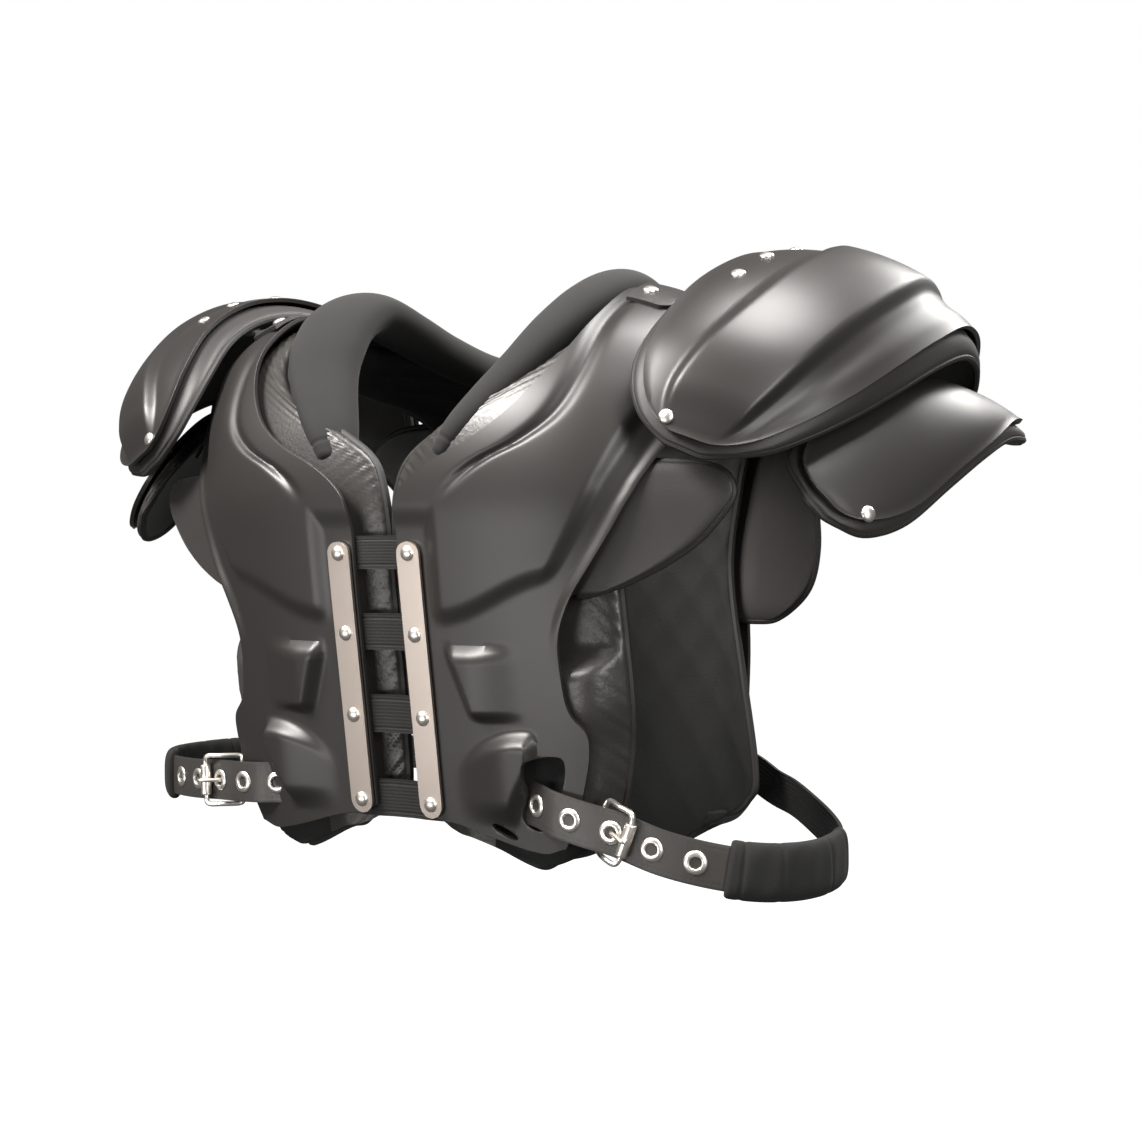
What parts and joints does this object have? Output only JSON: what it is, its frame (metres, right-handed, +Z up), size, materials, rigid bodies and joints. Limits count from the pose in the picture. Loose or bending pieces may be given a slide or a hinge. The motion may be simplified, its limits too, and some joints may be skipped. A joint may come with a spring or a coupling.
{
  "type": "football shoulder pad",
  "caption": "Football shoulder pad: moulded chest and back arches with bars and straps, flanged shoulder plates over arm caps, padded collar and buckled side belts.",
  "frame": {"origin": "middle of the shoulder seat: between the two arches, over the tops of the wearer's shoulders", "axes": "+X to the wearer's left, -Y to the front, +Z up"},
  "size_m": [0.6158, 0.3035, 0.3809],
  "materials": {
    "shell": "satin moulded dark grey",
    "pad": "padded, coated, bound edge",
    "liner": "satin-faced padding",
    "neoprene": "soft knit over foam",
    "elastic": "woven elastic",
    "bar": "satin, warm grey",
    "nickel": "polished nickel",
    "webbing": "coated webbing"
  },
  "bodies": {
    "root": {"collar_roll": "neoprene", "front_strap_1": "elastic", "front_strap_2": "elastic", "front_strap_3": "elastic", "front_strap_4": "elastic", "back_strap_1": "elastic", "back_strap_2": "elastic", "back_strap_3": "elastic", "arch_left": "shell", "liner_left": "liner", "front_bar_left": "bar", "back_bar_left": "bar", "epaulet_left": "shell", "epaulet_pad_left": "pad", "cap_left": "shell", "cap_pad_left": "pad", "chest_flap_left": "pad", "back_flap_left": "pad", "shoulder_tab_left": "webbing", "cap_strap_left": "webbing", "belt_left": "webbing", "belt_sleeve_left": "neoprene", "side_elastic_left": "elastic", "buckle_frame_left": "nickel", "buckle_roller_left": "nickel", "buckle_prong_left": "nickel", "buckle_strap_left": "webbing", "eyelet_1_left": "nickel", "eyelet_2_left": "nickel", "eyelet_3_left": "nickel", "eyelet_4_left": "nickel", "eyelet_5_left": "nickel", "arch_right": "shell", "liner_right": "liner", "front_bar_right": "bar", "back_bar_right": "bar", "epaulet_right": "shell", "epaulet_pad_right": "pad", "cap_right": "shell", "cap_pad_right": "pad", "chest_flap_right": "pad", "back_flap_right": "pad", "shoulder_tab_right": "webbing", "cap_strap_right": "webbing", "belt_right": "webbing", "belt_sleeve_right": "neoprene", "side_elastic_right": "elastic", "buckle_frame_right": "nickel", "buckle_roller_right": "nickel", "buckle_prong_right": "nickel", "buckle_strap_right": "webbing", "eyelet_1_right": "nickel", "eyelet_2_right": "nickel", "eyelet_3_right": "nickel", "eyelet_4_right": "nickel", "eyelet_5_right": "nickel"}
  },
  "joints": []
}
